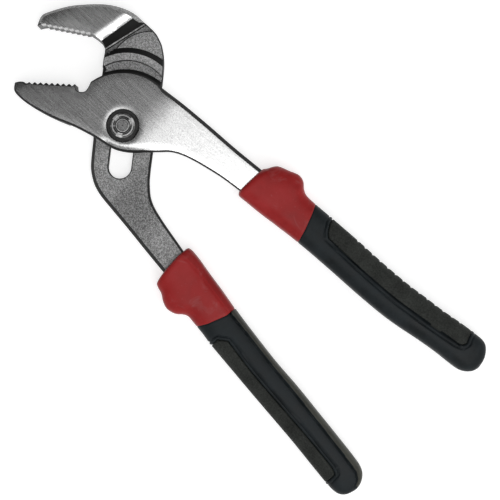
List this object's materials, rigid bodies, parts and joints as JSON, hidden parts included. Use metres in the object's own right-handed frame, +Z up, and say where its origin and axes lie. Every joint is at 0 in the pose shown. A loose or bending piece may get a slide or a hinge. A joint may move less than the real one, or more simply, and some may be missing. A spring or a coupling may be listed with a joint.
{
  "type": "tongue and groove pliers",
  "caption": "Slip-joint water pump pliers: two forged halves on a slotted neck with curved grooves, toothed jaws, red hand guards and black sleeves.",
  "frame": {"origin": "on the pivot bolt's axis, at the back face of the bolt's head, which lies on the surface that the tool rests on", "axes": "+Z up along the pivot bolt towards the nut; +X along the bisector of the handles, away from the jaws; +Y towards the front half's handle"},
  "size_m": [0.2559, 0.1018, 0.016],
  "materials": {
    "blasted_steel": "shot-blasted dark grey, with a polished upper jaw and dark chamfers",
    "polished_steel": "fine brushed and bright plated",
    "black_oxide_steel": "black oxide with worn edges",
    "red_plastic": "satin moulded",
    "black_sleeve": "satin moulded, fine grained",
    "textured_rubber": "matt, coarse grained"
  },
  "bodies": {
    "rear": {"rear_half": "blasted_steel", "pivot_bolt": "black_oxide_steel", "pivot_nut": "black_oxide_steel", "nut_washer": "black_oxide_steel", "rear_guard": "red_plastic", "rear_grip": "black_sleeve", "rear_palm_insert": "textured_rubber"},
    "front": {"front_half": "polished_steel", "front_guard": "red_plastic", "front_grip": "black_sleeve", "front_palm_insert": "textured_rubber"}
  },
  "joints": [
    {"name": "jaw_swing", "type": "hinge", "parent": "rear", "child": "front", "pos_m": [0, 0, 0.011], "axis": [0, 0, 1], "range_deg": [-18, 45]}
  ]
}
